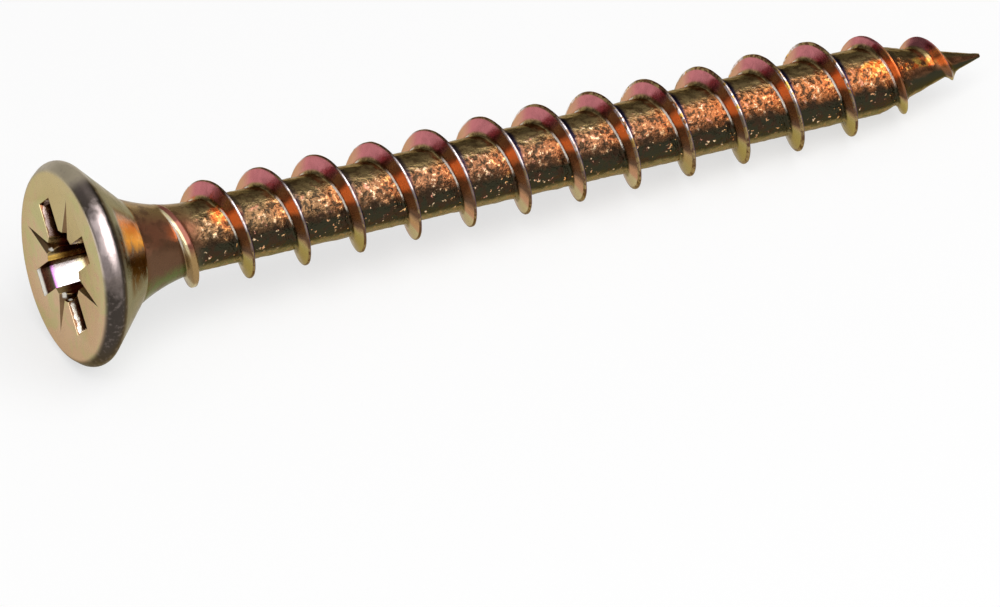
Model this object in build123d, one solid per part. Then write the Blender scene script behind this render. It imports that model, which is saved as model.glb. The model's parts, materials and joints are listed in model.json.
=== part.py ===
from build123d import *

# Chipboard screw, 4 x 40 class: flat countersunk head with a type Z cross recess, coarse thread along the whole
# shank, sharp point.
#
# The screw is drawn standing on its head: the middle of the head face is at 0, 0, 0 and the point is at +Z.
# At the end it is laid on its side, as it comes to rest: the head's rim and the last full thread crest
# touch the floor, and the axis runs along +X and dips by the angle between the two.
# Sizes are in millimetres, angles in degrees.

import os
from math import atan, ceil, cos, degrees, pi, radians, sin, sqrt, tan

# Head
head_d = 8.12  # where the lines of rim and seat cone would meet; their rounding leaves about 7.85
face_d = 7.3  # flat of the head face
rim_height = 0.54  # from the face to where those lines would meet
rim_r = 0.42  # rounding between rim and seat cone
seat_angle = 90.0  # included angle of the countersunk seat

# Shank
length = 38.6  # head face to nose
neck_d = 4.2  # where the seat cone meets the hollow of the neck
neck_end = 5.6  # from the face to the end of the neck's hollow
core_d = 2.65
point_angle = 30.5  # included angle of the point
nose_d = 0.14  # flat left on the point

# Thread: one start, right hand
thread_d = 4.0
pitch = 2.31
flank_angle = 40.0  # included angle of the ridge
crest_width = 0.08
fade_in = 1.85  # the ridge fills to full height over this length and is full at the neck's end
fade_power = 1.5  # shape of that growth: 1 is straight, more gives it a softer end
fade_out = 0.8  # the ridge dies into the point over this length
bare_point = 1.25  # point left without thread, measured from the sharp apex
taper_length = 7.3  # length, from the sharp apex, over which the crest curves in
taper_power = 1.48  # shape of that curve: 1 is straight, 2 is an ellipse
thread_clock = 269.5  # angle of the ridge about the axis where its helix crosses the face plane

# Drive recess, type Z, size 2
recess_clock = -46.3  # angle of the first wing about the axis
recess_wings = 4
wing_span = 5.16  # tip to tip at the face
wing_width = 1.05
wing_end_angle = 26.5  # slope of the wing ends to the axis
wing_flank_angle = 2.5  # draft of the wing sides
recess_depth = 2.35  # to the floor of the wings
well_d = 2.75  # round well at the face
well_angle = 7.0  # slope of the well's wall to the axis
well_tip_angle = 118.0  # included angle of the cone that ends the well
mark_out_d = 6.1  # circle on which the four marks between the wings end
mark_in_d = 2.4  # circle on which they begin, inside the well's mouth
mark_width = 0.55
mark_depth = 0.5

# Construction
edge_steps = 12  # points that guide each edge of the ridge, for each turn
nudge = 1e-4  # step for taking a direction along the helix
sink = 0.18  # how deep the ridge is rooted in the core
above = 0.3  # how far cutting shapes start above the face

head_r = head_d / 2
neck_r = neck_d / 2
core_r = core_d / 2
thread_r = thread_d / 2
half_point = radians(point_angle / 2)
apex = length + nose_d / 2 / tan(half_point)
point_start = apex - core_r / tan(half_point)
cone_end = rim_height + (head_r - neck_r) / tan(radians(seat_angle / 2))
neck_hollow = neck_end - cone_end
neck_arc_r = (neck_hollow**2 + (neck_r - core_r) ** 2) / (2 * (neck_r - core_r))
thread_start = neck_end - fade_in
thread_end = apex - bare_point


def core_radius(z):
    """Radius of the shank under the thread, from the neck to the sharp apex."""
    if z < neck_end:
        return core_r + neck_arc_r - sqrt(neck_arc_r**2 - (neck_end - z) ** 2)
    return min(core_r, (apex - z) * tan(half_point))


def crest_radius(z):
    """Radius of the whole ridge's crest, which dives under the core's surface near the point."""
    buried = core_radius(z) - sink / 2
    inward = max(0.0, (taper_length - (apex - z)) / taper_length)
    full = thread_r * (1 - inward**taper_power) ** (1 / taper_power)
    left = min(1.0, (thread_end - z) / fade_out)
    return buried + (full - buried) * left


def filled_radius(z):
    """Radius that the ridge is filled to. It starts under the neck's surface and grows to the whole crest."""
    buried = core_radius(z) - sink / 2
    missing = max(0.0, 1 - (z - thread_start) / fade_in)
    return buried + (crest_radius(z) - buried) * (1 - missing**fade_power)


def ridge_section(z):
    """Corners of the ridge's section with its middle at z. Where it isn't full, the flanks keep their places."""
    turn = radians(thread_clock) + 2 * pi * z / pitch
    corners = []
    for radius in (filled_radius(z), core_radius(z) - sink):
        half_width = crest_width / 2 + (crest_radius(z) - radius) * tan(radians(flank_angle / 2))
        corners.append(Vector(radius * cos(turn), radius * sin(turn), z + half_width))
        corners.insert(0, Vector(radius * cos(turn), radius * sin(turn), z - half_width))
    return corners


def ridge_edges(start, end):
    """Curves that the corners draw between two heights, each with its true direction at both ends."""
    parameters = [i / edge_steps for i in range(edge_steps + 1)]
    tracks = zip(*[ridge_section(start + (end - start) * t) for t in parameters])
    directions = []
    for z in (start, end):
        pairs = zip(ridge_section(z - nudge), ridge_section(z + nudge))
        directions.append([(after - before) * (end - start) / (2 * nudge) for before, after in pairs])
    edges = []
    for track, first, last in zip(tracks, *directions):
        edges.append(Edge.make_spline(track, tangents=[first, last], parameters=parameters, scale=False))
    return edges


def make_ridge():
    """Thread ridge as a closed solid: turn after turn of ruled strips, and a flat cap on each end."""
    turns = ceil((thread_end - thread_start) / pitch)
    heights = [thread_start + (thread_end - thread_start) * i / turns for i in range(turns + 1)]
    faces = [Face(Wire.make_polygon(ridge_section(z))) for z in (thread_start, thread_end)]
    for start, end in zip(heights, heights[1:]):
        edges = ridge_edges(start, end)
        faces += [Face.make_surface_from_curves(edges[i - 1], edges[i]) for i in range(len(edges))]
    return Solid(Shell(faces))


def make_blank():
    """Headed and pointed blank, turned from its half profile."""
    hollow_middle = (neck_end + cone_end) / 2
    with BuildPart() as blank:
        with BuildSketch(Plane.XZ) as profile:
            with BuildLine():
                Polyline((0, 0), (face_d / 2, 0), (head_r, rim_height), (neck_r, cone_end))
                middle = (core_radius(hollow_middle), hollow_middle)
                ThreePointArc((neck_r, cone_end), middle, (core_r, neck_end))
                Polyline((core_r, neck_end), (core_r, point_start), (nose_d / 2, length), (0, length), (0, 0))
            make_face()
            fillet(profile.vertices().sort_by(Axis.X)[-1], rim_r)
        revolve(axis=Axis.Z)
    return blank.part


def drafted_bar(span, width, end_angle, side_angle, depth):
    """Bar across the axis, from above the face down to the depth, that narrows on the way down."""
    sections = []
    for z in (-above, depth):
        long_side = span - 2 * z * tan(radians(end_angle))
        short_side = width - 2 * z * tan(radians(side_angle))
        sections.append(Plane.XY.offset(z) * Rectangle(long_side, short_side))
    return loft(sections, ruled=True)


def make_well():
    """Round well in the middle of the recess, with a cone at its bottom."""
    slope = tan(radians(well_angle))
    mouth_r = well_d / 2 + above * slope
    floor_r = well_d / 2 - recess_depth * slope
    tip_z = recess_depth + floor_r / tan(radians(well_tip_angle / 2))
    with BuildPart() as well:
        with BuildSketch(Plane.XZ):
            Polygon((0, -above), (mouth_r, -above), (floor_r, recess_depth), (0, tip_z), align=None)
        revolve(axis=Axis.Z)
    return well.part


def make_mark():
    """Wedge between two wings: deep and wide at the well, and fading to a point near the rim."""
    deepest = Vector(mark_in_d / 2, 0, mark_depth)
    grow = 1 + above / mark_depth
    corners = []
    for x, y in ((mark_in_d / 2, mark_width / 2), (mark_in_d / 2, -mark_width / 2), (mark_out_d / 2, 0)):
        corners.append(deepest + (Vector(x, y, 0) - deepest) * grow)
    sides = [(deepest, corners[i - 1], corners[i]) for i in range(3)] + [corners]
    return Solid(Shell([Face(Wire.make_polygon(side)) for side in sides]))


def make_recess():
    """Cutting shape of the drive recess."""
    recess = make_well()
    for i in range(recess_wings // 2):
        bar = drafted_bar(wing_span, wing_width, wing_end_angle, wing_flank_angle, recess_depth)
        recess += Rot(0, 0, i * 360 / recess_wings) * bar
    for i in range(recess_wings):
        recess += Rot(0, 0, (i + 0.5) * 360 / recess_wings) * make_mark()
    return Rot(0, 0, recess_clock) * recess


def lying_dip(blank):
    """Angle by which the axis dips towards the point when the screw lies on its rim and on one crest."""
    widest = blank.bounding_box().max.X
    first = (-thread_clock / 360) % 1
    dips = []
    for turn in range(int(thread_end / pitch)):
        z = (first + turn) * pitch
        if neck_end < z < thread_end:
            dips.append(degrees(atan((widest - crest_radius(z)) / (z - rim_height))))
    return min(dips)


blank = make_blank()
screw = blank + make_ridge() - make_recess()
screw = Rot(0, 90 + lying_dip(blank), 0) * screw

os.makedirs("parts", exist_ok=True)
export_step(screw, "parts/chipboard_screw.step")
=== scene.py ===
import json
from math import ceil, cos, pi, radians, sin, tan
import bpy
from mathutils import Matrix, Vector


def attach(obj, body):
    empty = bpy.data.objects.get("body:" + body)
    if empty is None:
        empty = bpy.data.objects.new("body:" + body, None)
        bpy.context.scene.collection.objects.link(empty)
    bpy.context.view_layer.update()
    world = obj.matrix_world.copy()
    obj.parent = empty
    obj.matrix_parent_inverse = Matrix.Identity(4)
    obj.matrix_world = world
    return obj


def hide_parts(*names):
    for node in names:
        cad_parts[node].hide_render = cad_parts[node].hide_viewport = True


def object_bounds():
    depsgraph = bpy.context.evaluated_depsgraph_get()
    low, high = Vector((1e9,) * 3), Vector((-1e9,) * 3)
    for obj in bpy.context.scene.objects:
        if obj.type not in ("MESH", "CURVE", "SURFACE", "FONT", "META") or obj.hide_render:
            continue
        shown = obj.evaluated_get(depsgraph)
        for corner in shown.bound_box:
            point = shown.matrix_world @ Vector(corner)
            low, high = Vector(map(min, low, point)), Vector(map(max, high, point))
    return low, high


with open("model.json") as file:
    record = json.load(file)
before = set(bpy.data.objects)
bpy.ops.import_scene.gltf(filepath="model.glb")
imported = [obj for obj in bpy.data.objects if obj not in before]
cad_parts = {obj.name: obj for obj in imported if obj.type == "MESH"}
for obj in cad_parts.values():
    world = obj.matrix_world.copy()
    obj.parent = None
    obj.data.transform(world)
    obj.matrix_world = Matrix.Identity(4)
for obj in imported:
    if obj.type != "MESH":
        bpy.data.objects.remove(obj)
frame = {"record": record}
cad_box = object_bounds()

# A chipboard screw in yellow zinc, lying on a pale floor.
#
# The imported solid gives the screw's place: the record's mounts hold the middle of the head face, the axis
# and the thread's radius. The piece made here stands for it, and adds what the plain solid leaves out:
# rounded crests and roots, the rolled marks of the core and the softened edges of the recess.
# Sizes are in millimetres and angles in degrees, along the screw's own axis, until axis_matrix puts them
# in the row frame. Parts of the stage are in metres, as their comments say.

from types import SimpleNamespace

import bmesh
import bpy
import numpy as np
from mathutils import Matrix, Vector, noise

MM = 0.001
NODE = "chipboard_screw"

# Head
face_d = 7.3  # flat of the head face
face_edge_r = 0.2  # softened edge of the face
head_d = 8.12  # where the lines of rim and seat cone would meet; their rounding leaves about 7.85
rim_height = 0.54  # from the face to where those lines would meet
rim_r = 0.42  # rounding between rim and seat cone
seat_angle = 90.0  # included angle of the countersunk seat

# Shank
length = 38.6  # head face to nose
neck_d = 4.2  # where the seat cone meets the hollow of the neck
neck_end = 5.6  # from the face to the end of the neck's hollow
core_d = 2.65
point_angle = 30.5  # included angle of the point
nose_d = 0.14  # flat left on the point

# Thread: one start, right hand
pitch = 2.31
flank_angle = 40.0  # included angle of the ridge
crest_width = 0.08
crest_round = 0.03  # rounding of the crest's two edges
root_round = 0.10  # rolled fillet at the foot of the flanks
tip_root_round = 0.6  # and on the point
tip_crest_round = 0.12  # and of the crest's edges there
tip_start, tip_full = 33.6, 36.2  # where those two start and are whole
unfilled_round = 0.25  # share of the missing height that rounds a crest that isn't full yet
full_root_height = 0.2  # ridge height from which its root has the whole fillet
least_root = 0.35  # share of the fillet that a lower ridge keeps
least_ridge = 0.05  # lowest ridge that its flank's foot is reckoned for
fade_in = 1.85  # the ridge fills up over this length, and is full at the neck's end
fade_power = 1.5  # shape of that growth: 1 is straight
fade_out = 0.8  # the ridge dies into the point over this length
bare_point = 1.25  # point left without thread, measured from the sharp apex
taper_length = 7.3  # length, from the sharp apex, over which the crest curves in
taper_power = 1.48  # shape of that curve: 1 is straight, 2 is an ellipse
thread_clock = 269.5  # angle of the ridge about the axis where its helix crosses the face plane
sink = 0.18  # the crest starts and ends half as deep as this under the core's surface

# Rolled marks of the core and wear of the crest
core_marks = 0.020  # height of the marks on the core
ridge_marks = 0.003  # and on the ridge
marks_lead = 1.0  # how far before the neck's end they start
marks_fade_in = 1.2
marks_fade_out = 4  # up to the sharp apex
marks_at_tip = 0.25  # share of them left at the point
large_lumps, small_lumps = 3.2, 7.5  # to a millimetre
small_share = 0.6  # height of the small lumps by the large
crest_wear = 0.012
wear_lumps = 2.1  # to a millimetre
wear_offset = 0.3  # how far wear outdoes what stands proud
worn_height = 0.8  # share of the ridge's height

# Drive recess, type Z, size 2
recess_clock = -46.3  # angle of the first wing about the axis
recess_wings = 4
wing_span = 5.16  # tip to tip at the face
wing_width = 1.05
wing_end_angle = 26.5  # slope of the wing ends to the axis, from the face to the floor
wing_mouth_angle = 32.0  # and near the face, where they are a little flatter
wing_mouth_depth = 0.56  # where that flatter part ends
wing_flank_angle = 2.5  # draft of the wing sides
recess_depth = 2.35  # to the floor of the wings
well_d = 2.75  # round well at the face
well_angle = 7.0  # slope of the well's wall to the axis
well_tip_angle = 118.0  # included angle of the cone that ends the well
well_tip_r = 0.02
mark_out_d = 6.1  # circle on which the four marks between the wings end
mark_in_d = 2.4  # circle on which they begin, inside the well's mouth
mark_width = 0.55
mark_depth = 0.5
recess_edge = 0.05  # softened edges of the recess
recess_edge_steps = 2
recess_edge_angle = 25.0  # edges that turn by more than this are softened
glint_angles = (86.0, 4.0, -17.0)  # round the axis, of the painted glints at the well's mouth
glint_depth = 0.19
above = 0.3  # how far the cutting shapes stand over the face

# Mesh
columns = 144  # round the axis
well_columns = 72
face_rings = (1.2, 2.4, 3.2)  # radii of the rings across the face
face_edge_steps = 4
rim_steps = 12
seat_steps = 12
crest_step = 0.3  # from a crest's middle to the next row, by its width
flank_steps = (0.0, 0.08, 0.2, 0.36, 0.52, 0.68, 0.82, 0.93, 1.04, 1.16, 1.3)  # of the way to its foot
groove_steps = (0.12, 0.28, 0.46, 0.64, 0.82, 1.0)  # of the rest, to the middle of the groove
close = 1e-3  # what is nearer to the plane of the ring or the nose lies in it
face_close = 0.01  # and to that of the face
point_merge = 1e-5
ring_merge = 1e-4  # for the ring where head and shank meet
flat_angle = 0.5  # edges of the face that turn by less than this are taken out
sharp_angle = 38.0  # edges that turn by more than this are shaded sharp

mounts = {mount["name"]: mount for mount in frame["record"]["mounts"]}
along = -Vector(mounts["head_face"]["axis"]).normalized()
thread_r = mounts["wood_thread"]["dims"]["r_mm"]
head_r = head_d / 2
neck_r = neck_d / 2
core_r = core_d / 2
half_point = radians(point_angle / 2)
flank_slope = tan(radians(flank_angle / 2))
apex = length + nose_d / 2 / tan(half_point)
cone_end = rim_height + (head_r - neck_r) / tan(radians(seat_angle / 2))
neck_hollow = neck_end - cone_end
neck_arc_r = (neck_hollow**2 + (neck_r - core_r) ** 2) / (2 * (neck_r - core_r))
thread_start = neck_end - fade_in
thread_end = apex - bare_point


def axis_matrix():
    """Screw's own axes in the row frame: the third runs from head to point, the first faces the floor."""
    side = Vector((0, 1, 0))
    down = side.cross(along)
    turned = Matrix((down, side, along)).transposed().to_4x4()
    return Matrix.Translation(Vector(mounts["head_face"]["pos_m"])) @ turned @ Matrix.Scale(MM, 4)


def direction_at(angle):
    """Direction out from the axis in the row frame, at an angle from the side that faces the floor."""
    return axis_matrix().to_3x3().normalized() @ Vector((cos(radians(angle)), sin(radians(angle)), 0))


# ---- Shape of the shank ----


def core_radius(z):
    """Radius of the shank under the thread."""
    hollow = core_r + neck_arc_r - np.sqrt(neck_arc_r**2 - np.clip(neck_end - z, 0, neck_hollow) ** 2)
    return np.minimum(hollow, np.maximum(apex - z, 0) * tan(half_point))


def crest_radius(z):
    """Radius of the whole ridge's crest, which dives under the core's surface near the point."""
    buried = core_radius(z) - sink / 2
    inward = np.clip((taper_length - (apex - z)) / taper_length, 0, 1)
    full = thread_r * (1 - inward**taper_power) ** (1 / taper_power)
    left = np.clip((thread_end - z) / fade_out, 0, 1)
    return buried + np.maximum(full - buried, 0) * left


def filled_radius(z):
    """Radius that the ridge is filled to: it starts under the neck's surface and grows to the whole crest."""
    buried = core_radius(z) - sink / 2
    missing = np.clip(1 - (z - thread_start) / fade_in, 0, 1)
    return buried + (crest_radius(z) - buried) * (1 - missing**fade_power)


def soft_max(a, b, k):
    """The larger of the two, with a rounded meeting k wide."""
    h = np.clip(0.5 + 0.5 * (a - b) / k, 0, 1)
    return b * (1 - h) + a * h + k * h * (1 - h)


def soft_min(a, b, k):
    """The smaller of the two, with a rounded meeting k wide."""
    return -soft_max(-a, -b, k)


def speckle(points, scale, seed):
    """Smooth noise from -1 to 1 at each point, with lumps about 1/scale across."""
    offset = Vector((seed * 17.3, seed * -9.1, seed * 5.7))
    return np.array([noise.noise(Vector(p) * scale + offset) for p in points])


def foot_offset(crest, core):
    """Distance along the axis from a crest's middle to the foot of its flank."""
    return crest_width / 2 + np.maximum(crest - core, least_ridge) * flank_slope


def eased(z, start, whole):
    """0 before the start, 1 from the end of a straight ramp on."""
    return np.clip((z - start) / (whole - start), 0, 1)


def groove_offsets(crest, core):
    """Offsets along the axis from a crest's middle to the middle of the next groove, for each crest."""
    foot = foot_offset(crest, core)
    half = np.full_like(foot, pitch / 2)
    steps = [np.zeros_like(foot), np.full_like(foot, crest_width * crest_step)]
    for share in flank_steps:
        steps.append(crest_width / 2 + share * (foot - crest_width / 2))
    last = steps[-1]
    for share in groove_steps:
        steps.append(last + share * (half - last))
    return steps


def shank_grid():
    """Rows of points that follow the helix: angles of the columns, then z, radius and side of each point.

    The side runs from -1 at the foot of the flank towards the head to 1 at the foot towards the point.
    """
    turns = ceil((length - cone_end) / pitch) + 3
    first = int(cone_end / pitch) - 2
    angles = np.arange(columns) * 2 * pi / columns
    z_rows, radius_rows, side_rows = [], [], []
    for k in range(first, first + turns):
        middle = (np.degrees(angles) - thread_clock) / 360 * pitch + k * pitch
        crest = crest_radius(middle)
        filled = filled_radius(middle)
        core = core_radius(middle)
        softer = eased(middle, tip_start, tip_full)
        crest_soft = crest_round + (tip_crest_round - crest_round) * softer
        root_soft = root_round + (tip_root_round - root_round) * softer
        offsets = groove_offsets(crest, core)
        for sign, steps in ((-1, offsets[-2:0:-1]), (1, offsets)):
            for step in steps:
                z = middle + sign * step
                flank = crest + (crest_width / 2 - step) / flank_slope
                ridge = soft_min(flank, filled, crest_soft + unfilled_round * (crest - filled))
                floor = core_radius(z)
                rooted = np.clip((filled - floor) / full_root_height, least_root, 1)
                z_rows.append(z)
                radius_rows.append(soft_max(ridge, floor, root_soft * rooted))
                side_rows.append(sign * np.clip(step / foot_offset(crest, core), 0, 1))
    rows_per_turn = 2 * len(offsets) - 2
    return angles, np.array(z_rows), np.array(radius_rows), np.array(side_rows), rows_per_turn


def wrapped_faces(count, rows, rows_per_turn):
    """Quads of a sheet that winds round the axis: past the last column, a row goes on one turn further."""
    faces = []
    for row in range(rows - 1):
        for column in range(count):
            nxt, climb = (column + 1, 0) if column + 1 < count else (0, rows_per_turn)
            if row + 1 + climb < rows:
                a, b = row * count + column, (row + climb) * count + nxt
                faces.append((a, b, b + count, a + count))
    return faces


def grid_points(angles, radius, z):
    """The grid's points one after the other, row by row."""
    x, y = radius * np.cos(angles), radius * np.sin(angles)
    return np.stack([x, y, z], axis=-1).reshape(-1, 3)


def rolled_marks(points, z, ridge):
    """What the core's lumps and the crest's wear add to the radius at each point."""
    rolled = np.clip((z - neck_end + marks_lead) / marks_fade_in, 0, 1)
    rolled = rolled * np.clip((apex - z) / marks_fade_out, marks_at_tip, 1)
    rough = (core_marks * (1 - ridge) ** 2 + ridge_marks) * rolled
    lumps = speckle(points, large_lumps, 1) + small_share * speckle(points, small_lumps, 2)
    wear_and_highlight = crest_wear * np.clip(ridge - worn_height, 0, 1 - worn_height) / (1 - worn_height)
    wear = speckle(points, wear_lumps, 3) - wear_offset
    return rough * lumps.reshape(z.shape) + wear_and_highlight * wear.reshape(z.shape)


def make_shank():
    """Threaded shank from the neck's ring to the nose, open at the ring."""
    angles, z, radius, side, rows_per_turn = shank_grid()
    inside = (z > cone_end) & (z < length)
    z = np.clip(z, cone_end, length)
    core = core_radius(z)
    radius = np.where(inside, radius, core)
    ridge = np.clip((radius - core) / (thread_r - core_r), 0, 1)
    radius = radius + inside * rolled_marks(grid_points(angles, radius, z), z, ridge)
    mesh = bmesh.new()
    ridge_layer = mesh.verts.layers.float.new("ridge")
    side_layer = mesh.verts.layers.float.new("side")
    for point, on_ridge, on_side in zip(grid_points(angles, radius, z), ridge.ravel(), side.ravel()):
        vert = mesh.verts.new(point)
        vert[ridge_layer] = on_ridge
        vert[side_layer] = on_side
    mesh.verts.ensure_lookup_table()
    for face in wrapped_faces(columns, len(z), rows_per_turn):
        mesh.faces.new([mesh.verts[i] for i in face])
    bmesh.ops.remove_doubles(mesh, verts=mesh.verts, dist=point_merge)
    loose = [v for v in mesh.verts if not v.link_faces]
    bmesh.ops.delete(mesh, geom=loose, context="VERTS")
    nose = [e for e in mesh.edges if e.is_boundary and all(v.co.z > length - close for v in e.verts)]
    bmesh.ops.contextual_create(mesh, geom=nose)
    return mesh


# ---- Head and recess ----


def rounded(before, corner, after, radius, steps):
    """Points of the arc that rounds a corner of a profile."""
    a, b = (before - corner).normalized(), (after - corner).normalized()
    half = a.angle(b) / 2
    start = corner + a * (radius / tan(half))
    middle = corner + (a + b).normalized() * (radius / sin(half))
    spoke = start - middle
    turned = pi - 2 * half
    sense = 1 if a.cross(b) < 0 else -1
    return [middle + Matrix.Rotation(sense * turned * i / steps, 2) @ spoke for i in range(steps + 1)]


def head_profile():
    """Radius and z of the head's outline, from near the middle of its face to the neck's ring."""
    centre, face_edge = Vector((0, 0)), Vector((face_d / 2, 0))
    rim, ring = Vector((head_r, rim_height)), Vector((neck_r, cone_end))
    points = [Vector((r, 0)) for r in face_rings]
    points += rounded(centre, face_edge, rim, face_edge_r, face_edge_steps)
    points += rounded(face_edge, rim, ring, rim_r, rim_steps)
    last = points[-1]
    points += [last.lerp(ring, (i + 1) / seat_steps) for i in range(seat_steps)]
    return points


def skinned(rings):
    """Closed solid through rings with the same number of points."""
    mesh = bmesh.new()
    rows = [[mesh.verts.new(point) for point in ring] for ring in rings]
    for row, following in zip(rows, rows[1:]):
        for i in range(len(row)):
            mesh.faces.new((row[i], row[i - 1], following[i - 1], following[i]))
    mesh.faces.new(rows[0])
    mesh.faces.new(reversed(rows[-1]))
    bmesh.ops.recalc_face_normals(mesh, faces=mesh.faces)
    return mesh


def lathe(profile, count=columns):
    """Closed solid turned from a profile of radius and z."""
    angles = [2 * pi * i / count for i in range(count)]
    return skinned([[(r * cos(a), r * sin(a), z) for a in angles] for r, z in profile])


def wing_reach(z):
    """Half the span of two opposite wings at a depth below the face."""
    floor = wing_span / 2 - recess_depth * tan(radians(wing_end_angle))
    turning = wing_span / 2 - wing_mouth_depth * tan(radians(wing_mouth_angle))
    if z < wing_mouth_depth:
        return wing_span / 2 - z * tan(radians(wing_mouth_angle))
    return turning + (floor - turning) * (z - wing_mouth_depth) / (recess_depth - wing_mouth_depth)


def bar_mesh():
    """Bar across the axis that narrows on the way down: two opposite wings of the recess."""
    rings = []
    for z in (-above, wing_mouth_depth, recess_depth):
        x = wing_reach(z)
        y = wing_width / 2 - z * tan(radians(wing_flank_angle))
        rings.append([(x, y, z), (-x, y, z), (-x, -y, z), (x, -y, z)])
    return skinned(rings)


def well_mesh():
    """Round well in the middle, with a cone at its bottom."""
    slope = tan(radians(well_angle))
    floor_r = well_d / 2 - recess_depth * slope
    tip = recess_depth + floor_r / tan(radians(well_tip_angle / 2))
    profile = [(well_d / 2 + above * slope, -above), (floor_r, recess_depth), (well_tip_r, tip)]
    return lathe(profile, well_columns)


def mark_mesh():
    """Wedge between two wings, deep at the well and fading to a point near the rim."""
    deepest = Vector((mark_in_d / 2, 0, mark_depth))
    grow = 1 + above / mark_depth
    corners = [(mark_in_d / 2, mark_width / 2), (mark_in_d / 2, -mark_width / 2), (mark_out_d / 2, 0)]
    mesh = bmesh.new()
    mouth = [mesh.verts.new(deepest + (Vector((x, y, 0)) - deepest) * grow) for x, y in corners]
    bottom = mesh.verts.new(deepest)
    mesh.faces.new(mouth)
    for i in range(3):
        mesh.faces.new((mouth[i], mouth[i - 1], bottom))
    bmesh.ops.recalc_face_normals(mesh, faces=mesh.faces)
    return mesh


def in_scene(name, data):
    """New object of the scene, with that mesh, camera or lamp as its data."""
    made = bpy.data.objects.new(name, data)
    bpy.context.scene.collection.objects.link(made)
    return made


def to_object(mesh, name):
    """Object of the scene that takes over a mesh."""
    data = bpy.data.meshes.new(name)
    mesh.to_mesh(data)
    mesh.free()
    return in_scene(name, data)


def recess_cutters():
    """Cutting shapes of the recess, each turned to its place."""
    cutters = [to_object(well_mesh(), "cut_well")]
    step = 360 / recess_wings
    for i in range(recess_wings // 2):
        cutters.append(to_object(bar_mesh(), f"cut_bar_{i}"))
        cutters[-1].rotation_euler.z = radians(recess_clock + i * step)
    for i in range(recess_wings):
        cutters.append(to_object(mark_mesh(), f"cut_mark_{i}"))
        cutters[-1].rotation_euler.z = radians(recess_clock + (i + 0.5) * step)
    return cutters


def soften_recess(mesh):
    """Small bevels on the outward edges of the recess, at the face and where the wings meet the well."""
    chosen = []
    for edge in mesh.edges:
        if len(edge.link_faces) != 2 or not edge.is_convex:
            continue
        reach = max(v.co.xy.length for v in edge.verts)
        if reach < face_d / 2 - 2 * face_edge_r and edge.calc_face_angle(0) > radians(recess_edge_angle):
            chosen.append(edge)
    bmesh.ops.bevel(mesh, geom=chosen, offset=recess_edge, offset_type="OFFSET",
                    segments=recess_edge_steps, profile=0.5, affect="EDGES", clamp_overlap=True)


def make_head():
    """Head with its recess cut, open at the neck's ring.

    The blank has a stub past the ring, so that the well's tip is cut whole. Its skin is taken off again.
    """
    stub = Vector((neck_r, cone_end + recess_depth))
    blank = to_object(lathe([*head_profile(), stub]), "head_blank")
    cutters = recess_cutters()
    for cutter in cutters:
        cut = blank.modifiers.new(cutter.name, "BOOLEAN")
        cut.operation = "DIFFERENCE"
        cut.solver = "EXACT"
        cut.object = cutter
    seen = blank.evaluated_get(bpy.context.evaluated_depsgraph_get())
    mesh = bmesh.new()
    mesh.from_mesh(seen.to_mesh())
    seen.to_mesh_clear()
    for thing in [blank, *cutters]:
        bpy.data.meshes.remove(thing.data)  # its object goes with it
    past_ring = [f for f in mesh.faces if all(v.co.z > cone_end - close for v in f.verts)]
    spare = [f for f in past_ring if max(v.co.xy.length for v in f.verts) > well_d / 2]
    bmesh.ops.delete(mesh, geom=spare, context="FACES")
    bmesh.ops.remove_doubles(mesh, verts=mesh.verts, dist=point_merge)
    on_face = [e for e in mesh.edges if max(v.co.z for v in e.verts) < face_close]
    bmesh.ops.dissolve_limit(mesh, angle_limit=radians(flat_angle), verts=mesh.verts, edges=on_face)
    soften_recess(mesh)
    return mesh


def make_screw():
    """The whole screw as one mesh in the row frame."""
    mesh = make_shank()
    head = to_object(make_head(), "head")
    mesh.from_mesh(head.data)
    bpy.data.meshes.remove(head.data)
    bmesh.ops.remove_doubles(mesh, verts=mesh.verts, dist=ring_merge)
    bmesh.ops.recalc_face_normals(mesh, faces=mesh.faces)
    mesh.transform(axis_matrix())
    for face in mesh.faces:
        face.smooth = True
    screw = to_object(mesh, "screw_body")
    screw.data.set_sharp_from_angle(angle=radians(sharp_angle))
    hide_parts(NODE)
    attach(screw, "root")
    return screw


# ---- Material ----


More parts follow.
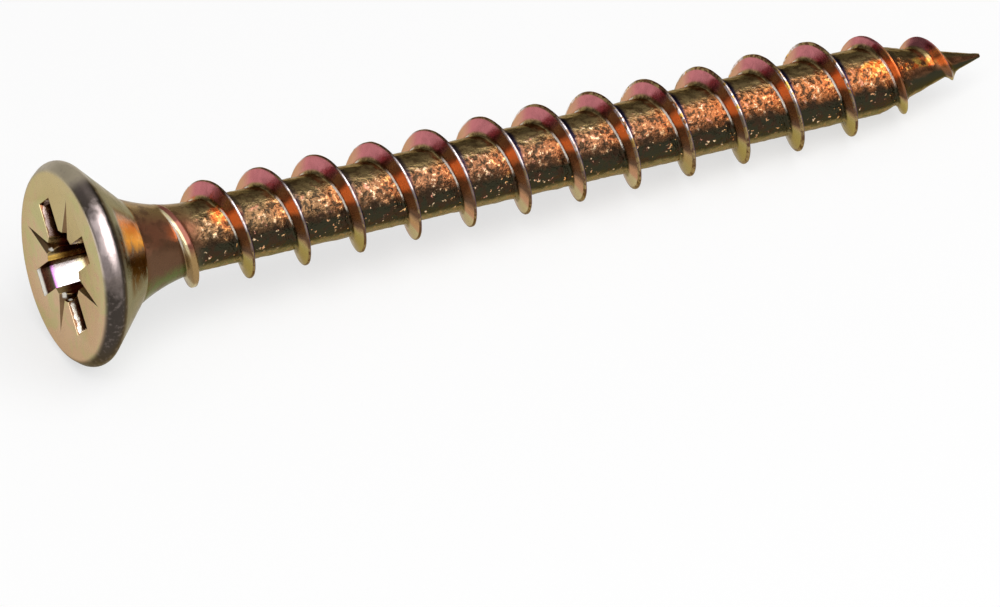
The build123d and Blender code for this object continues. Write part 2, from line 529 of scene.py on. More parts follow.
class Graph:
    """Short way to write the nodes of a material or a world: most calls add one and give its output."""

    def __init__(self, owner):
        owner.use_nodes = True
        self.tree = owner.node_tree
        self.nodes = self.tree.nodes

    def add(self, kind, inputs=None, out=0, **settings):
        """Any node, with its inputs by name and its settings."""
        made = self.nodes.new(kind)
        for name, value in settings.items():
            setattr(made, name, value)
        self.fill(made, inputs or {})
        return made.outputs[out]

    def fill(self, made, inputs):
        """Inputs of a node, each linked to another's output or set to a value."""
        for key, value in inputs.items():
            if isinstance(value, bpy.types.NodeSocket):
                self.tree.links.new(value, made.inputs[key])
            else:
                made.inputs[key].default_value = value

    def math(self, operation, *values):
        return self.add("ShaderNodeMath", dict(enumerate(values)), operation=operation)

    def times(self, first, *others):
        """Product of the values."""
        for other in others:
            first = self.math("MULTIPLY", first, other)
        return first

    def most(self, first, *others):
        """The largest of the values."""
        for other in others:
            first = self.math("MAXIMUM", first, other)
        return first

    def vector(self, operation, *values, out=0):
        return self.add("ShaderNodeVectorMath", dict(enumerate(values)), out=out, operation=operation)

    def scaled(self, vector, factor):
        return self.add("ShaderNodeVectorMath", {0: vector, "Scale": factor}, operation="SCALE")

    def dot(self, vector, direction):
        """How far a vector reaches along a fixed direction."""
        return self.vector("DOT_PRODUCT", vector, tuple(direction), out="Value")

    def noise(self, place, scale, detail=2.0, roughness=0.5, warp=0.0):
        """Smooth noise around 0.5, with lumps about 1/scale across."""
        inputs = {"Scale": scale, "Detail": detail, "Roughness": roughness, "Distortion": warp}
        return self.add("ShaderNodeTexNoise", {"Vector": place, **inputs})

    def remap(self, value, low, high, to_low=0.0, to_high=1.0):
        """Smooth step from one range to another. The step falls where low is over high."""
        inputs = {"Value": value, "From Min": low, "From Max": high, "To Min": to_low, "To Max": to_high}
        return self.add("ShaderNodeMapRange", inputs, interpolation_type="SMOOTHSTEP")

    def band(self, value, start, end, soft):
        """1 between the two, and 0 outside."""
        rise = self.remap(value, start - soft, start + soft)
        fall = self.remap(value, end + soft, end - soft)
        return self.times(rise, fall)

    def sway(self, value, noise, amount):
        """The value, pushed up and down by a noise."""
        return self.math("MULTIPLY_ADD", self.math("SUBTRACT", noise, 0.5), amount, value)

    def mix(self, share, first, second):
        """Colour between two, each a socket or red, green and blue."""
        made = self.nodes.new("ShaderNodeMix")
        made.data_type = "RGBA"
        sockets = {s.identifier: s for s in made.inputs}
        for key, value in (("Factor_Float", share), ("A_Color", first), ("B_Color", second)):
            if isinstance(value, bpy.types.NodeSocket):
                self.tree.links.new(value, sockets[key])
            else:
                sockets[key].default_value = (*value, 1)
        return next(s for s in made.outputs if s.identifier == "Result_Color")

    def ramp(self, value, stops):
        """Colour that runs through stops, each a place from 0 to 1 and its red, green and blue."""
        made = self.nodes.new("ShaderNodeValToRGB")
        self.tree.links.new(value, made.inputs["Fac"])
        marks = made.color_ramp.elements
        while len(marks) < len(stops):
            marks.new(0.5)
        for mark, (place, colour) in zip(marks, stops):
            mark.position = place
            mark.color = (*colour, 1)
        return made.outputs["Color"]


# Colours of the plating and of the light painted on it, as linear red, green and blue. Pale ones:
ivory = (1.0, 0.97, 0.88)
butter = (1.0, 0.88, 0.55)
spark = (1.0, 0.76, 0.48)
straw = (0.92, 0.78, 0.46)
lilac = (0.85, 0.78, 0.80)
shell = (0.85, 0.70, 0.68)
cream = (0.66, 0.57, 0.33)
khaki = (0.56, 0.465, 0.265)
putty = (0.42, 0.36, 0.26)
# Reds and oranges
peach = (0.92, 0.45, 0.22)
coral = (0.88, 0.36, 0.24)
orange = (0.90, 0.26, 0.04)
ember = (0.90, 0.19, 0.04)
rose = (0.62, 0.43, 0.28)
blush = (0.62, 0.34, 0.22)
apricot = (0.56, 0.29, 0.15)
pink = (0.56, 0.185, 0.20)
flame = (0.55, 0.17, 0.05)
rose_brown = (0.34, 0.12, 0.085)
garnet = (0.15, 0.045, 0.025)
# Yellows and greens
amber = (0.95, 0.42, 0.05)
gold = (0.85, 0.52, 0.12)
leaf = (0.48, 0.48, 0.23)
brass = (0.42, 0.33, 0.11)
sage = (0.25, 0.25, 0.17)
olive = (0.25, 0.195, 0.085)
fern = (0.085, 0.115, 0.026)
moss = (0.036, 0.034, 0.020)
# Browns
cinnamon = (0.34, 0.15, 0.055)
hazel = (0.33, 0.23, 0.10)
brown = (0.32, 0.20, 0.08)
copper = (0.29, 0.125, 0.06)
chestnut = (0.26, 0.095, 0.035)
russet = (0.24, 0.095, 0.05)
bronze = (0.24, 0.16, 0.075)
bark = (0.20, 0.12, 0.06)
rust = (0.18, 0.085, 0.04)
umber = (0.11, 0.052, 0.026)
# Violets, greys and near blacks
orchid = (0.70, 0.30, 0.72)
violet = (0.06, 0.06, 0.18)
plum = (0.075, 0.052, 0.085)
indigo = (0.020, 0.016, 0.040)
mauve = (0.26, 0.21, 0.19)
taupe = (0.14, 0.112, 0.096)
slate = (0.055, 0.045, 0.038)
soot = (0.05, 0.030, 0.018)
jet = (0.035, 0.028, 0.018)

# Sides of the screw: its front, and the tops that the colours of turned surfaces and flanks are told from
# Colours that change round the axis from these tops are painted light: painted highlights and reflections
# where surfaces face the lamps and the floor, painted shade where they face away.
FRONT = (0, -1, 0)
film_top = Vector((0.0, 0.26, 0.97)).normalized()
flank_top = Vector((0.0, 0.64, 0.77)).normalized()

# Spans round the axis, as shares of the way from those tops to the opposite side
top_calm = (0.12, 0.26)  # where the core's texture grows from faint to whole
lit = (0.20, 0.44)  # where the core and the crest have painted glints as bright specks, and the core warmer painted light
shaded = (0.44, 0.70)  # painted shade, where the core is nearly black, with few painted glints
# Where the seat's painted glow, the flanks' browns and their painted ember glow are less metallic:
seat_lit = (0.22, 0.40)
flank_browns = (0.30, 0.80)
flank_ember = (0.41, 0.54)

# Spans of height in which the colours change. A span that falls is where something ends.
recess_lip = (0.005, 0.03)
# Depths of the painted highlight lines in the wings:
wing_lines = (0.10, 0.24)
# Depths where the bright strip of the painted highlight at the wing end's mouth ends, and its less metallic
# part:
mouth_strip = (0.16, 0.12)
strip_film = (0.18, 0.10)
# Depths over which the well's wall darkens as painted shade:
well_darkens = (0.25, 0.60)
# Where the rim darkens towards the seat, as painted shade:
rim_darkens = (0.58, 0.70)
rim_to_seat = (0.80, 1.02)
seat_colours = (1.15, 1.45)
seat_film = (1.2, 2.5)
# Where the neck's painted ember glow lies:
neck_ember = (3.8, 4.5)
neck_film = (cone_end, 5.2)
neck_to_core = (4.6, 5.2)
ridge_starts = (5.6, 5.0)
ridge_whole = (5.2, 5.8)
# Where the core's painted glints start and end, and where its lumps do:
specks_start, specks_end = (4.7, 5.5), (35.6, 34.8)
lumps_start, lumps_end = (4.5, 5.3), (35.6, 34.8)
# Where the core's painted glow lies:
first_glow = (5.8, 6.9)
tip_glow = (33.1, 36.5)
bronze_ends = (15.0, 8.0)
flame_starts = (21.0, 29.0)
green_ends, green_returns = (11.0, 8.0), (31.0, 33.0)
brass_ends, brass_returns = (14.4, 12.6), (24.2, 26.0)
# Where the painted indigo shade past the crests lies, and where it deepens:
indigo_part, indigo_deepens = (6.4, 34.6), (8.0, 20.0)
flecks_start = (16.0, 24.0)
crest_widens = (14.0, 24.0)
# Where the painted highlight at the foot of the flanks ends:
foot_highlight_ends = (35.0, 33.6)

# Spans along the axis from the last crest
# Where the core's painted glints thicken and redden, and its painted light reddens:
specks_thicken = (0.4, 1.3)
specks_redden = (1.2, 1.9)
core_reddens = (1.2, 2.0)
# Where the painted indigo shade past the crests ends:
indigo_edge = (0.90, 0.74)
indigo_lean = 1.2  # how much that edge falls back from the top to the opposite side

# Spans of radius
# Radius past which the painted glints at the well's mouth fade:
glint_edge = (1.56, 1.46)
mouth_edge = (3.2, 3.1)  # of the cone that holds the whole recess, with the slope of the wing ends
rim_dulls = (3.45, 3.65)
# Where the back of the rim, painted lighter, is less metallic:
back_rim_film = (3.5, 3.7)
face_to_rim = (3.52, 3.74)

# Places in the recess
wing_slope = 0.5  # of the wing ends, outward by depth
bright_end = (2.42, 2.48)  # how far out the end wall with the painted highlight lies, by that slope
end_depth = 2.5  # depth over which the colours of that painted highlight run
line_part = (1.25, 1.40)  # how far out the painted highlight lines begin
other_wing = (-0.1, 0.1)  # where a wing gives way to the opposite one
# Where the gold stripe of painted reflection lies, along the first line of wings:
gold_stripe = (-0.70, -0.50)
wing_blur = 0.02
well_blur = 0.03
glint_width = (5.0, 3.0)  # degrees to each side of its middle
glint_height = 0.07
well_reach = 4.0  # the well ends before this height
well_reach_r = 1.2  # and past the neck's ring it is narrower than this

# Surface
sheen_tint = (0.7, 0.6, 0.45, 1)
smoothest, roughest = 0.17, 0.30
rim_dulling = 0.12
film_metal, brightest_metal = 0.35, 0.1  # how metallic the places with a painted glow and the painted highlights are
bump_height = 0.1
rolled_bump, plain_bump = 0.65, 0.04


def round_from(graph, spoke, top):
    """How far round the axis a spoke lies from one side of the screw: 0 there, and 1 opposite."""
    return graph.math("DIVIDE", graph.math("ARCCOSINE", graph.dot(spoke, top)), pi)


def past_crest(graph, spoke, height):
    """Distance along the axis from the last crest's middle, towards the point."""
    angle = graph.math("ARCTAN2", graph.dot(spoke, direction_at(90)), graph.dot(spoke, direction_at(0)))
    lead = graph.math("MULTIPLY_ADD", angle, -pitch / (2 * pi), height)
    return graph.math("FLOORED_MODULO", graph.math("ADD", lead, thread_clock / 360 * pitch), pitch)


def coordinates(graph):
    """What the colours go by at each point of the surface, all of it fixed to the screw.

    height, radius: along the axis from the face, and out from the axis. spoke: direction out from the axis.
    ridge: 0 on the core and 1 on the crest. side: below 0 towards the head and above 0 towards the point.
    past: along the axis from the last crest. turn, flank_turn: round the axis from the top, 0 to 1.
    broad, patch, fine and grain: noises, from coarse to fine.
    """
    place = graph.scaled(graph.add("ShaderNodeTexCoord", out="Object"), 1 / MM)
    height = graph.dot(place, along)
    outward = graph.vector("SUBTRACT", place, graph.scaled(tuple(along), height))
    spoke = graph.vector("NORMALIZE", outward)
    return SimpleNamespace(
        height=height,
        radius=graph.vector("LENGTH", outward, out="Value"),
        spoke=spoke,
        ridge=graph.add("ShaderNodeAttribute", out="Fac", attribute_name="ridge"),
        side=graph.add("ShaderNodeAttribute", out="Fac", attribute_name="side"),
        past=past_crest(graph, spoke, height),
        turn=round_from(graph, spoke, film_top),
        flank_turn=round_from(graph, spoke, flank_top),
        broad=graph.noise(place, 0.7, 3.0, 0.55, 0.6),
        patch=graph.noise(place, 2.6, 3.0, 0.6, 0.4),
        fine=graph.noise(place, 5.0, 3.0, 0.60),
        grain=graph.noise(place, 16.0, 2.0, 0.6),
    )


def along_wings(graph, at):
    """How far out a point lies along the two lines of wings, and how far it is from the nearer line."""
    signed = []
    for angle in (recess_clock, recess_clock + 90):
        signed.append(graph.times(graph.dot(at.spoke, direction_at(angle)), at.radius))
    nearer = graph.math("MINIMUM", *(graph.math("ABSOLUTE", value) for value in signed))
    return *signed, nearer


def painted_well_glints(graph, at):
    """Share of the small painted glints at the well's mouth."""
    nearest = graph.most(*(graph.dot(at.spoke, direction_at(angle)) for angle in glint_angles))
    round_axis = graph.remap(nearest, *(cos(radians(angle)) for angle in glint_width))
    down_wall = graph.band(at.height, glint_depth - glint_height, glint_depth + glint_height, 0.03)
    return graph.times(round_axis, down_wall, graph.remap(at.radius, *glint_edge))


def recess_colour(graph, at):
    """Garnet walls in painted shade, bright lines and one bright wing end as painted highlights, brown marks,
    and a gold stripe in the well as a painted reflection.

    Gives the colour, the share of the wing end's painted highlight and the share of the painted glints.
    """
    height, patch = at.height, at.patch
    along_a, along_b, nearer = along_wings(graph, at)
    # Garnet walls, kept dark as painted shade in the recess.
    walls = graph.mix(graph.remap(patch, 0.40, 0.60), garnet, umber)
    # Bright lines down the wings are painted highlights.
    line = graph.band(graph.sway(height, patch, 0.3), *wing_lines, 0.02)
    wing_end = graph.remap(graph.math("ABSOLUTE", along_a), *line_part)
    brighter = graph.remap(along_a, *other_wing, 0.6, 1.0)
    line_colour = graph.mix(graph.remap(along_a, *other_wing), shell, ivory)
    walls = graph.mix(graph.times(line, wing_end, brighter), walls, line_colour)

    # One wing end carries a painted highlight: a bright strip at its mouth, dark bands and a pale sheet of
    # painted reflected light.
    lit_end_wall = graph.remap(graph.math("MULTIPLY_ADD", height, wing_slope, along_b), *bright_end)
    end_highlight = graph.ramp(graph.math("DIVIDE", height, end_depth), [
        (0.040, ivory), (0.060, garnet), (0.17, moss), (0.20, orchid),
        (0.25, lilac), (0.50, lilac), (0.60, butter), (0.66, bark)])
    walls = graph.mix(lit_end_wall, walls, end_highlight)
    outside_wings = graph.remap(nearer, wing_width / 2 - wing_blur, wing_width / 2 + wing_blur)
    walls = graph.mix(outside_wings, walls, bark)

    # The well's wall darkens with depth as painted shade, with a gold stripe that is a painted reflection.
    well = graph.math("MULTIPLY_ADD", height, tan(radians(well_angle)), at.radius)
    well_wall = graph.mix(graph.remap(height, *well_darkens), hazel, garnet)
    well_wall = graph.mix(graph.band(along_a, *gold_stripe, 0.03), well_wall, gold)
    in_well = graph.remap(well, well_d / 2 + well_blur, well_d / 2)
    in_well = graph.times(in_well, graph.math("SUBTRACT", 1.0, lit_end_wall))
    # Painted glints at the well's mouth.
    painted_glints = painted_well_glints(graph, at)
    return graph.mix(painted_glints, graph.mix(in_well, walls, well_wall), ivory), lit_end_wall, painted_glints


def rim_colour(graph, at):
    """Painted light: a pale painted highlight on the upper front, taupe beside that, slate underneath and
    near the seat as painted shade, putty at the back painted lighter.
    """
    rim = graph.ramp(graph.sway(at.turn, at.patch, 0.10), [
        (0.10, mauve), (0.20, taupe), (0.27, shell), (0.37, shell), (0.46, mauve), (0.52, slate)])
    rim = graph.mix(graph.remap(at.height, *rim_darkens), rim, slate)
    rim = graph.mix(graph.remap(graph.dot(at.spoke, FRONT), -0.05, 0.20), putty, rim)
    return graph.mix(graph.remap(at.fine, 0.52, 0.70, 0.0, 0.35), rim, mauve)


def seat_colour(graph, at):
    """Sage with an orange glow in front that is a painted reflection, with umber below it as painted shade,
    plain sage next to the rim.
    """
    seat = graph.ramp(graph.sway(at.turn, at.patch, 0.10), [
        (0.17, sage), (0.22, rust), (0.27, orange), (0.34, amber),
        (0.39, rust), (0.43, umber), (0.50, umber), (0.57, sage)])
    seat = graph.mix(graph.remap(at.height, *seat_colours), sage, seat)
    return graph.mix(graph.remap(at.patch, 0.50, 0.66, 0.0, 0.5), seat, sage)


def head_colour(graph, at):
    """Khaki face with faint rosy and green clouds, then rim, seat and recess.

    Gives the colour and the shares of the recess's end wall highlight and painted glints.
    """
    height, radius = at.height, at.radius
    face = graph.mix(graph.remap(graph.sway(at.turn, at.patch, 1.6), 0.25, 0.75), khaki, rose)
    face = graph.mix(graph.remap(at.broad, 0.48, 0.66, 0.0, 0.6), face, leaf)
    colour = graph.mix(graph.remap(radius, *face_to_rim), face, rim_colour(graph, at))
    colour = graph.mix(graph.remap(height, *rim_to_seat), colour, seat_colour(graph, at))
    inward = graph.math("MULTIPLY_ADD", height, wing_slope, radius)
    inside = graph.times(graph.remap(inward, *mouth_edge), graph.remap(height, *recess_lip))
    recess, lit_end_wall, painted_glints = recess_colour(graph, at)
    return graph.mix(inside, colour, recess), graph.times(inside, lit_end_wall), graph.times(inside, painted_glints)


def neck_colour(graph, at, place):
    """Brown and russet above, umber in front as painted shade with a faint ember glow as a painted
    reflection, fern below.
    """
    neck = graph.ramp(place, [
        (0.10, brown), (0.24, russet), (0.34, russet), (0.43, umber),
        (0.57, umber), (0.66, fern), (0.86, fern)])
    neck = graph.mix(graph.remap(at.patch, 0.48, 0.62, 0.0, 0.6), neck, umber)
    glow = graph.times(graph.band(place, 0.26, 0.40, 0.05), graph.band(at.height, *neck_ember, 0.25))
    return graph.mix(graph.times(glow, graph.remap(at.patch, 0.58, 0.46, 0.0, 0.4)), neck, ember)


def core_glow(graph, at, place):
    """Share of the painted glow in the first groove and near the point, a painted reflection of the orange
    flanks beside it.
    """
    near_tip = graph.times(graph.band(place, 0.22, 0.36, 0.03), graph.band(at.height, *tip_glow, 0.3))
    near_tip = graph.times(near_tip, graph.remap(at.patch, 0.42, 0.52))
    first = graph.times(graph.band(place, 0.16, 0.31, 0.03), graph.band(at.height, *first_glow, 0.20))
    return graph.most(near_tip, graph.times(first, 0.9))


def core_colour(graph, at):
    """Bronze with painted glints as bright specks and with dark specks, painted shade nearly black low in
    front, brown on top, and olive or green below as painted reflections of the floor.
    """
    fine, height, patch, past = at.fine, at.height, at.patch, at.past
    place = graph.sway(at.turn, patch, 0.12)
    rolled = graph.times(graph.remap(height, *specks_start), graph.remap(height, *specks_end))
    lit_mottled = graph.times(graph.band(place, *lit, 0.05), rolled)
    shaded_sparse = graph.times(graph.band(place, *shaded, 0.03), rolled)
    # Painted light round the axis: hazel on top, copper where lit, umber and near-black moss as painted shade
    # low in front, olive below as a painted reflection of the floor.
    base = graph.ramp(place, [
        (0.10, hazel), (0.20, hazel), (0.27, copper), (0.38, copper), (0.45, umber),
        (0.50, moss), (0.68, moss), (0.75, olive), (0.85, olive)])
    # In the lit band, warmer painted light: bronze near the head, flame towards the point and near the next
    # crest. Then soot in patches of the painted shade.
    base = graph.mix(graph.times(lit_mottled, graph.remap(height, *bronze_ends, 0.0, 0.6)), base, bronze)
    base = graph.mix(graph.times(lit_mottled, graph.remap(height, *flame_starts, 0.0, 0.6)), base, flame)
    base = graph.mix(graph.times(lit_mottled, graph.remap(past, *core_reddens, 0.0, 0.4)), base, flame)
    base = graph.mix(graph.times(shaded_sparse, graph.remap(patch, 0.46, 0.60)), base, soot)
    top_specks = graph.times(graph.remap(place, 0.24, 0.18), graph.remap(fine, 0.48, 0.60, 0.0, 0.6))
    base = graph.mix(top_specks, base, umber)

    # Bright specks are painted glints of the lamps, thick where lit and few in the painted shade.
    specks = graph.mix(graph.remap(patch, 0.42, 0.50), peach, spark)
    specks = graph.mix(graph.remap(patch, 0.52, 0.60), specks, coral)
    specks = graph.mix(graph.remap(past, *specks_redden, 0.0, 0.5), specks, amber)
    clusters = graph.remap(at.broad, 0.38, 0.52, 0.45, 1.0)
    clusters = graph.times(clusters, graph.remap(past, *specks_thicken, 0.4, 1.0))
    bright = graph.times(graph.remap(fine, 0.55, 0.63), lit_mottled, clusters)
    few = graph.times(graph.remap(fine, 0.63, 0.69), shaded_sparse)
    base = graph.mix(graph.most(bright, few), base, specks)
    base = graph.mix(graph.times(graph.remap(fine, 0.49, 0.42, 0.0, 0.85), lit_mottled), base, jet)

    # Painted glow, ember and gold, in the first groove and near the point.
    glow_colour = graph.mix(graph.remap(fine, 0.46, 0.58), ember, gold)
    base = graph.mix(core_glow(graph, at, place), base, glow_colour)
    base = graph.mix(graph.times(graph.remap(place, 0.68, 0.74), graph.remap(fine, 0.50, 0.60)), base, brown)
    ends = graph.most(graph.remap(height, *green_ends), graph.remap(height, *green_returns))
    green = graph.times(graph.remap(place, 0.70, 0.76), ends, graph.remap(patch, 0.54, 0.46, 0.0, 0.6))
    base = graph.mix(green, base, fern)
    past_neck = graph.remap(graph.sway(height, patch, 0.5), *neck_to_core)
    return graph.mix(past_neck, neck_colour(graph, at, place), base)


def flank_colour(graph, at):
    """Painted light by how the flank faces: pink film on top where the light above falls, through brown to an
    ember glow in front that is a painted reflection, then brown again and cream or brass below as painted
    reflections of the floor.
    """
    height, flank_turn = at.height, at.flank_turn
    place = graph.sway(flank_turn, at.broad, 0.14)
    whole = graph.ramp(place, [
        (0.14, pink), (0.26, pink), (0.32, cinnamon), (0.39, chestnut), (0.44, ember), (0.50, ember),
        (0.55, chestnut), (0.72, umber), (0.79, apricot), (0.86, blush), (0.91, cream)])
    whole = graph.mix(graph.remap(graph.dot(at.spoke, FRONT), -0.62, -0.95), whole, blush)
    ends = graph.most(graph.remap(height, *brass_ends), graph.remap(height, *brass_returns))
    whole = graph.mix(graph.times(graph.remap(place, 0.72, 0.80), ends), whole, brass)

    # The ridge as it starts: straw on its head-side flank as a painted highlight, brown further round and
    # cream below.
    starting = graph.mix(graph.remap(at.side, -0.34, -0.12), straw, rose_brown)
    starting = graph.mix(graph.remap(flank_turn, 0.56, 0.68), starting, brown)
    starting = graph.mix(graph.remap(flank_turn, 0.90, 0.96), starting, cream)
    return graph.mix(graph.remap(height, *ridge_whole), starting, whole)


def crest_colour(graph, at):
    """A painted highlight where the crest faces forward, painted shade on top and below, spots of wear, and
    flecks towards the point that are painted glints in front.
    """
    patch, turn = at.patch, at.turn
    wear_and_highlight = graph.ramp(graph.sway(turn, patch, 0.10), [
        (0.14, umber), (0.22, lilac), (0.36, lilac), (0.44, mauve), (0.56, umber)])
    wear_and_highlight = graph.mix(graph.remap(patch, 0.50, 0.60, 0.0, 0.7), wear_and_highlight, hazel)
    flecks = graph.times(graph.remap(at.fine, 0.48, 0.56), graph.remap(at.height, *flecks_start))
    front_glints = graph.mix(graph.remap(patch, 0.44, 0.54), gold, chestnut)
    fleck_and_glint_colour = graph.mix(graph.band(turn, *lit, 0.05), hazel, front_glints)
    return graph.mix(flecks, wear_and_highlight, fleck_and_glint_colour)


def shank_colour(graph, at):
    """Core, flanks and crest, with a painted highlight at the foot, indigo painted shade past the crests and
    violet on their far edge as a painted dark reflection.

    Gives the colour, the share that is flank and the share of the painted highlight at the foot.
    """
    height, ridge, side, turn = at.height, at.ridge, at.side, at.turn
    low_ridge = graph.times(graph.remap(ridge, 0.01, 0.05), graph.remap(height, *ridge_starts))
    on_flank = graph.most(graph.remap(ridge, 0.12, 0.30), low_ridge)
    colour = graph.mix(on_flank, core_colour(graph, at), flank_colour(graph, at))

    # A painted highlight along the head-side foot of the flanks where they face forward.
    head_side_foot = graph.times(graph.band(ridge, 0.035, 0.16, 0.02), graph.remap(side, -0.4, -0.8))
    facing = graph.times(graph.band(turn, 0.20, 0.46, 0.05), graph.remap(height, *foot_highlight_ends))
    foot_highlight = graph.times(head_side_foot, facing)
    colour = graph.mix(foot_highlight, colour, ivory)

    # Painted shade in indigo just past the foot of each crest, towards the point.
    shade_past_foot = graph.remap(graph.math("MULTIPLY_ADD", turn, indigo_lean, at.past), *indigo_edge)
    shade_past_foot = graph.times(shade_past_foot, graph.remap(ridge, 0.30, 0.10), graph.remap(turn, 0.50, 0.40))
    shade_past_foot = graph.times(shade_past_foot, graph.band(height, *indigo_part, 0.6))
    shade_past_foot = graph.times(shade_past_foot, graph.remap(height, *indigo_deepens, 0.45, 1.0))
    colour = graph.mix(shade_past_foot, colour, indigo)

    # A violet line on the far edge of the crests, a painted dark reflection.
    dark_edge_reflection = graph.times(graph.remap(ridge, 0.62, 0.84), graph.remap(side, 0.02, 0.10))
    dark_edge_reflection = graph.times(dark_edge_reflection, graph.remap(graph.dot(at.spoke, FRONT), -0.3, 0.2))
    bluest = graph.times(graph.band(turn, 0.12, 0.44, 0.08), graph.remap(at.patch, 0.38, 0.52, 0.3, 1.0))
    colour = graph.mix(dark_edge_reflection, colour, graph.mix(bluest, plum, violet))

    crest_from = graph.remap(height, *crest_widens, 0.90, 0.80)
    crest = graph.remap(ridge, crest_from, graph.math("ADD", crest_from, 0.07))
    crest = graph.times(crest, graph.remap(side, 0.08, 0.02))
    return graph.mix(crest, colour, crest_colour(graph, at)), on_flank, foot_highlight


def metal_share(graph, at, on_shank, on_flank, foot_highlight, lit_end_wall, painted_glints):
    """1 where the zinc mirrors plainly, less where a glow is painted into its film, and least on the painted
    highlights.
    """
    height, radius, flank_turn = at.height, at.radius, at.flank_turn
    browns = graph.times(graph.band(flank_turn, *flank_browns, 0.05), 0.5)
    flanks = graph.times(graph.most(graph.band(flank_turn, *flank_ember, 0.04), browns), on_flank)
    neck = graph.times(graph.band(height, *neck_film, 0.3), 0.5)
    shank_film = graph.times(graph.most(flanks, foot_highlight, neck), on_shank)
    seat = graph.times(graph.band(at.turn, *seat_lit, 0.03), graph.band(height, *seat_film, 0.1))
    back = graph.remap(graph.dot(at.spoke, FRONT), 0.20, -0.05)
    rim = graph.times(back, graph.remap(radius, *back_rim_film))
    head_film = graph.times(graph.most(seat, rim), graph.math("GREATER_THAN", radius, 2.0))
    end_highlight = graph.times(lit_end_wall, graph.remap(height, *strip_film, 0.2, 1.0))
    # The places with painted glows and painted highlights, less metallic so that the lamps light them.
    film = graph.most(shank_film, head_film, end_highlight)
    brightest = graph.most(graph.times(lit_end_wall, graph.remap(height, *mouth_strip)), painted_glints)
    under_film = graph.remap(film, 0.0, 1.0, 1.0, film_metal)
    return graph.times(under_film, graph.remap(brightest, 0.0, 1.0, 1.0, brightest_metal))


def zinc_bump(graph, at):
    """Rolled texture of the core, calmer on its top, and nearly smooth elsewhere."""
    height = at.height
    rolled = graph.times(graph.remap(height, *lumps_start), graph.remap(height, *lumps_end))
    rolled = graph.times(rolled, graph.remap(at.ridge, 0.30, 0.05))
    calmer_top = graph.remap(at.turn, *top_calm, 0.15, 1.0)
    strength = graph.math("MULTIPLY_ADD", graph.times(rolled, calmer_top), rolled_bump, plain_bump)
    lumps = graph.math("MULTIPLY_ADD", at.grain, 0.2, at.fine)
    return graph.add("ShaderNodeBump", {"Strength": strength, "Distance": bump_height * MM, "Height": lumps})


def zinc_material():
    """Yellow chromated zinc: a thin film whose colour runs from olive over pink to orange, laid round the
    axis as painted light, with painted highlights, glows and shade.
    """
    material = bpy.data.materials.new("yellow_zinc")
    graph = Graph(material)
    at = coordinates(graph)
    height, radius = at.height, at.radius
    past_ring = graph.math("GREATER_THAN", height, cone_end)
    outside_well = graph.times(past_ring, graph.math("GREATER_THAN", radius, well_reach_r))
    on_shank = graph.most(outside_well, graph.math("GREATER_THAN", height, well_reach))
    head, lit_end_wall, painted_glints = head_colour(graph, at)
    shank, on_flank, foot_highlight = shank_colour(graph, at)
    rough = graph.remap(at.patch, 0.35, 0.65, smoothest, roughest)
    rough = graph.math("MULTIPLY_ADD", graph.remap(radius, *rim_dulls), rim_dulling, rough)
    graph.fill(graph.nodes["Principled BSDF"], {
        "Base Color": graph.mix(on_shank, head, shank),
        "Metallic": metal_share(graph, at, on_shank, on_flank, foot_highlight, lit_end_wall, painted_glints),
        "Roughness": rough,
        "Specular Tint": sheen_tint,
        "Normal": zinc_bump(graph, at),
    })
    return material


# ---- Stage ----

middle = (cad_box[0] + cad_box[1]) / 2  # of the screw, in the row frame and in metres

# Camera
camera_azimuth = 26.56
camera_elevation = 35.58
camera_distance = 675.0  # from the plane through the row frame's origin
lens = 653.7
aim_left = 0.88  # the view's middle lies this far left of the screw's middle
aim_below = 6.33  # and this far below it
clip_near, clip_far = 0.01, 10  # metres

# Floor and surroundings
floor_size = 4.0  # metres
floor_white = (0.95, 0.95, 0.95, 1)
floor_roughness = 0.9
floor_glow = 0.65  # share of the floor that shows its plain white
studio = [(0.0, 0.9), (0.05, 0.7), (0.16, 0.14), (0.6, 0.16), (0.9, 0.5)]  # sine of elevation, grey

# Lamps, in metres and watts: direction from the screw, width, depth and power
lamp_distance = 0.4
lamps = {
    "key": ((0.22, -0.52, 0.82), 0.50, 0.46, 1.5),
    "side": ((-0.43, -0.50, 0.75), 0.20, 0.20, 0.36),
}


def look_along(thing, direction):
    """Turn a camera or a lamp to look in a direction."""
    thing.rotation_mode = "QUATERNION"
    thing.rotation_quaternion = direction.to_track_quat("-Z", "Y")


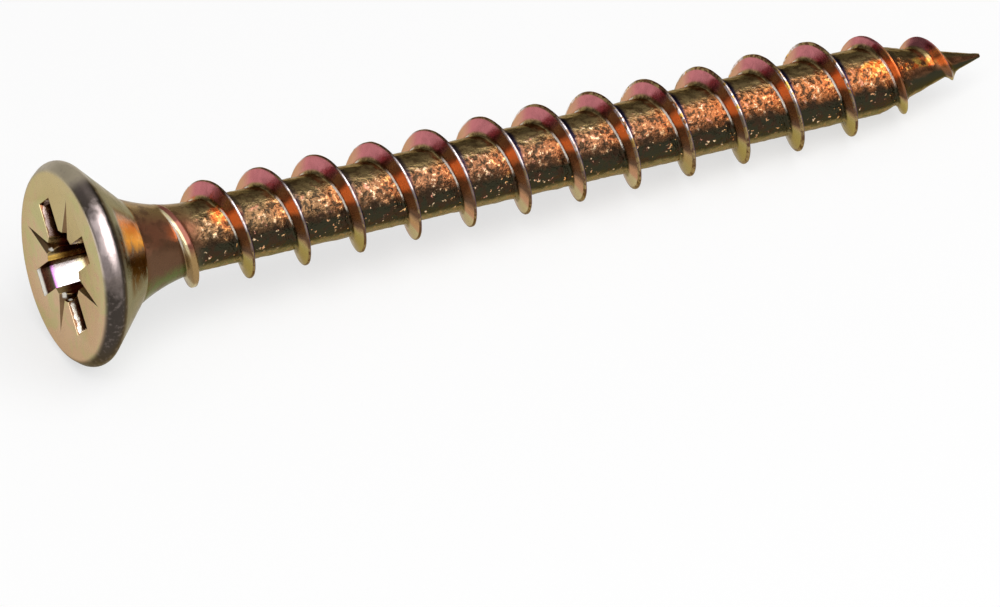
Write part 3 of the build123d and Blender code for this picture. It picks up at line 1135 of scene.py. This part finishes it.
def make_camera():
    """Camera that looks down on the screw's front, from the head's side."""
    turn, rise = radians(camera_azimuth), radians(camera_elevation)
    look = Vector((sin(turn) * cos(rise), cos(turn) * cos(rise), -sin(rise)))
    right = Vector((cos(turn), -sin(turn), 0))
    up = right.cross(look)
    data = bpy.data.cameras.new("camera")
    data.lens = lens
    data.clip_start, data.clip_end = clip_near, clip_far
    camera = in_scene("camera", data)
    depth = camera_distance * MM + look.dot(middle)
    aim = middle - right * aim_left * MM - up * aim_below * MM
    camera.location = aim - look * depth
    look_along(camera, look)
    bpy.context.scene.camera = camera


def make_floor():
    """White floor that stays white in reflections too, and keeps a light shadow."""
    bpy.ops.mesh.primitive_plane_add(size=floor_size, location=(0, 0, cad_box[0].z))
    floor = bpy.context.object
    floor.name = "floor"
    material = bpy.data.materials.new("floor")
    graph = Graph(material)
    plain = graph.nodes["Principled BSDF"]
    graph.fill(plain, {"Base Color": floor_white, "Roughness": floor_roughness, "Specular IOR Level": 0.0})
    light_path = graph.nodes.new("ShaderNodeLightPath")
    rays = [light_path.outputs[kind] for kind in ("Is Camera Ray", "Is Glossy Ray", "Is Transmission Ray")]
    share = graph.times(graph.most(*rays), floor_glow)
    glow = graph.add("ShaderNodeEmission", {"Color": (1, 1, 1, 1), "Strength": 1.0})
    surface = graph.add("ShaderNodeMixShader", {0: share, 1: plain.outputs["BSDF"], 2: glow})
    graph.fill(graph.nodes["Material Output"], {"Surface": surface})
    floor.data.materials.append(material)


def make_world():
    """Studio of plain grey: white at the horizon, dim above it and bright overhead."""
    world = bpy.data.worlds.new("studio")
    bpy.context.scene.world = world
    graph = Graph(world)
    direction = graph.add("ShaderNodeTexCoord", out="Generated")
    elevation = graph.add("ShaderNodeSeparateXYZ", {0: direction}, out="Z")
    greys = [(place, (grey, grey, grey)) for place, grey in studio]
    graph.fill(graph.nodes["Background"], {"Color": graph.ramp(elevation, greys)})


def make_lamp(name, direction, width, depth, watts):
    """Soft rectangular lamp that looks at the middle of the screw."""
    lamp = bpy.data.lights.new(name, "AREA")
    lamp.shape = "RECTANGLE"
    lamp.energy = watts
    lamp.size, lamp.size_y = width, depth
    holder = in_scene(name, lamp)
    offset = Vector(direction).normalized()
    holder.location = middle + offset * lamp_distance
    look_along(holder, -offset)


screw = make_screw()
screw.data.materials.append(zinc_material())
make_camera()
make_floor()
make_world()
for name, measures in lamps.items():
    make_lamp(name, *measures)
bpy.context.scene.view_settings.view_transform = "Standard"
